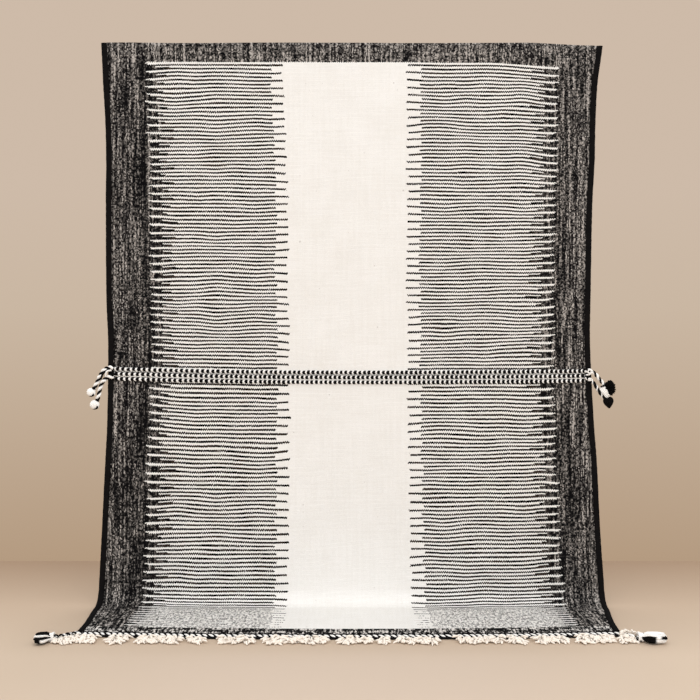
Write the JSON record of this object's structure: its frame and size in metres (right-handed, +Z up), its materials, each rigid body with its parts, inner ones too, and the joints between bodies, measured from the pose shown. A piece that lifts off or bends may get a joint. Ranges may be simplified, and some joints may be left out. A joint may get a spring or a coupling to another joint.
{
  "type": "moroccan flatweave rug",
  "caption": "Handwoven wool flatweave rug with black edge cords, a twined band across its middle, tasselled cords and a tufted fringe, hung with its foot on the floor.",
  "frame": {"origin": "middle of the upper edge, at the middle of the cloth's thickness, where the rug is held", "axes": "+Z up, -Y out of the rug's front, +X to the right seen from the front"},
  "size_m": [2.05, 0.5986, 2.044],
  "materials": {
    "woven_wool": "flatwoven wool in black, grey and cream, matt",
    "black_wool": "wrapped black wool cord, matt",
    "cream_wool": "undyed cream wool yarn, matt and fibrous",
    "twined_wool": "black and undyed cream wool twined together, matt"
  },
  "bodies": {
    "root": {"rug_cloth": "woven_wool", "edge_cord_left": "black_wool", "edge_cord_right": "black_wool", "middle_twining_front": "twined_wool", "middle_twining_back": "twined_wool", "end_twining": "cream_wool", "tassel_left_upper": "twined_wool", "tassel_left_lower": "twined_wool", "tassel_right_upper": "twined_wool", "tassel_right_lower": "twined_wool", "tassel_end_left": "twined_wool", "tassel_end_right": "twined_wool"}
  },
  "joints": []
}
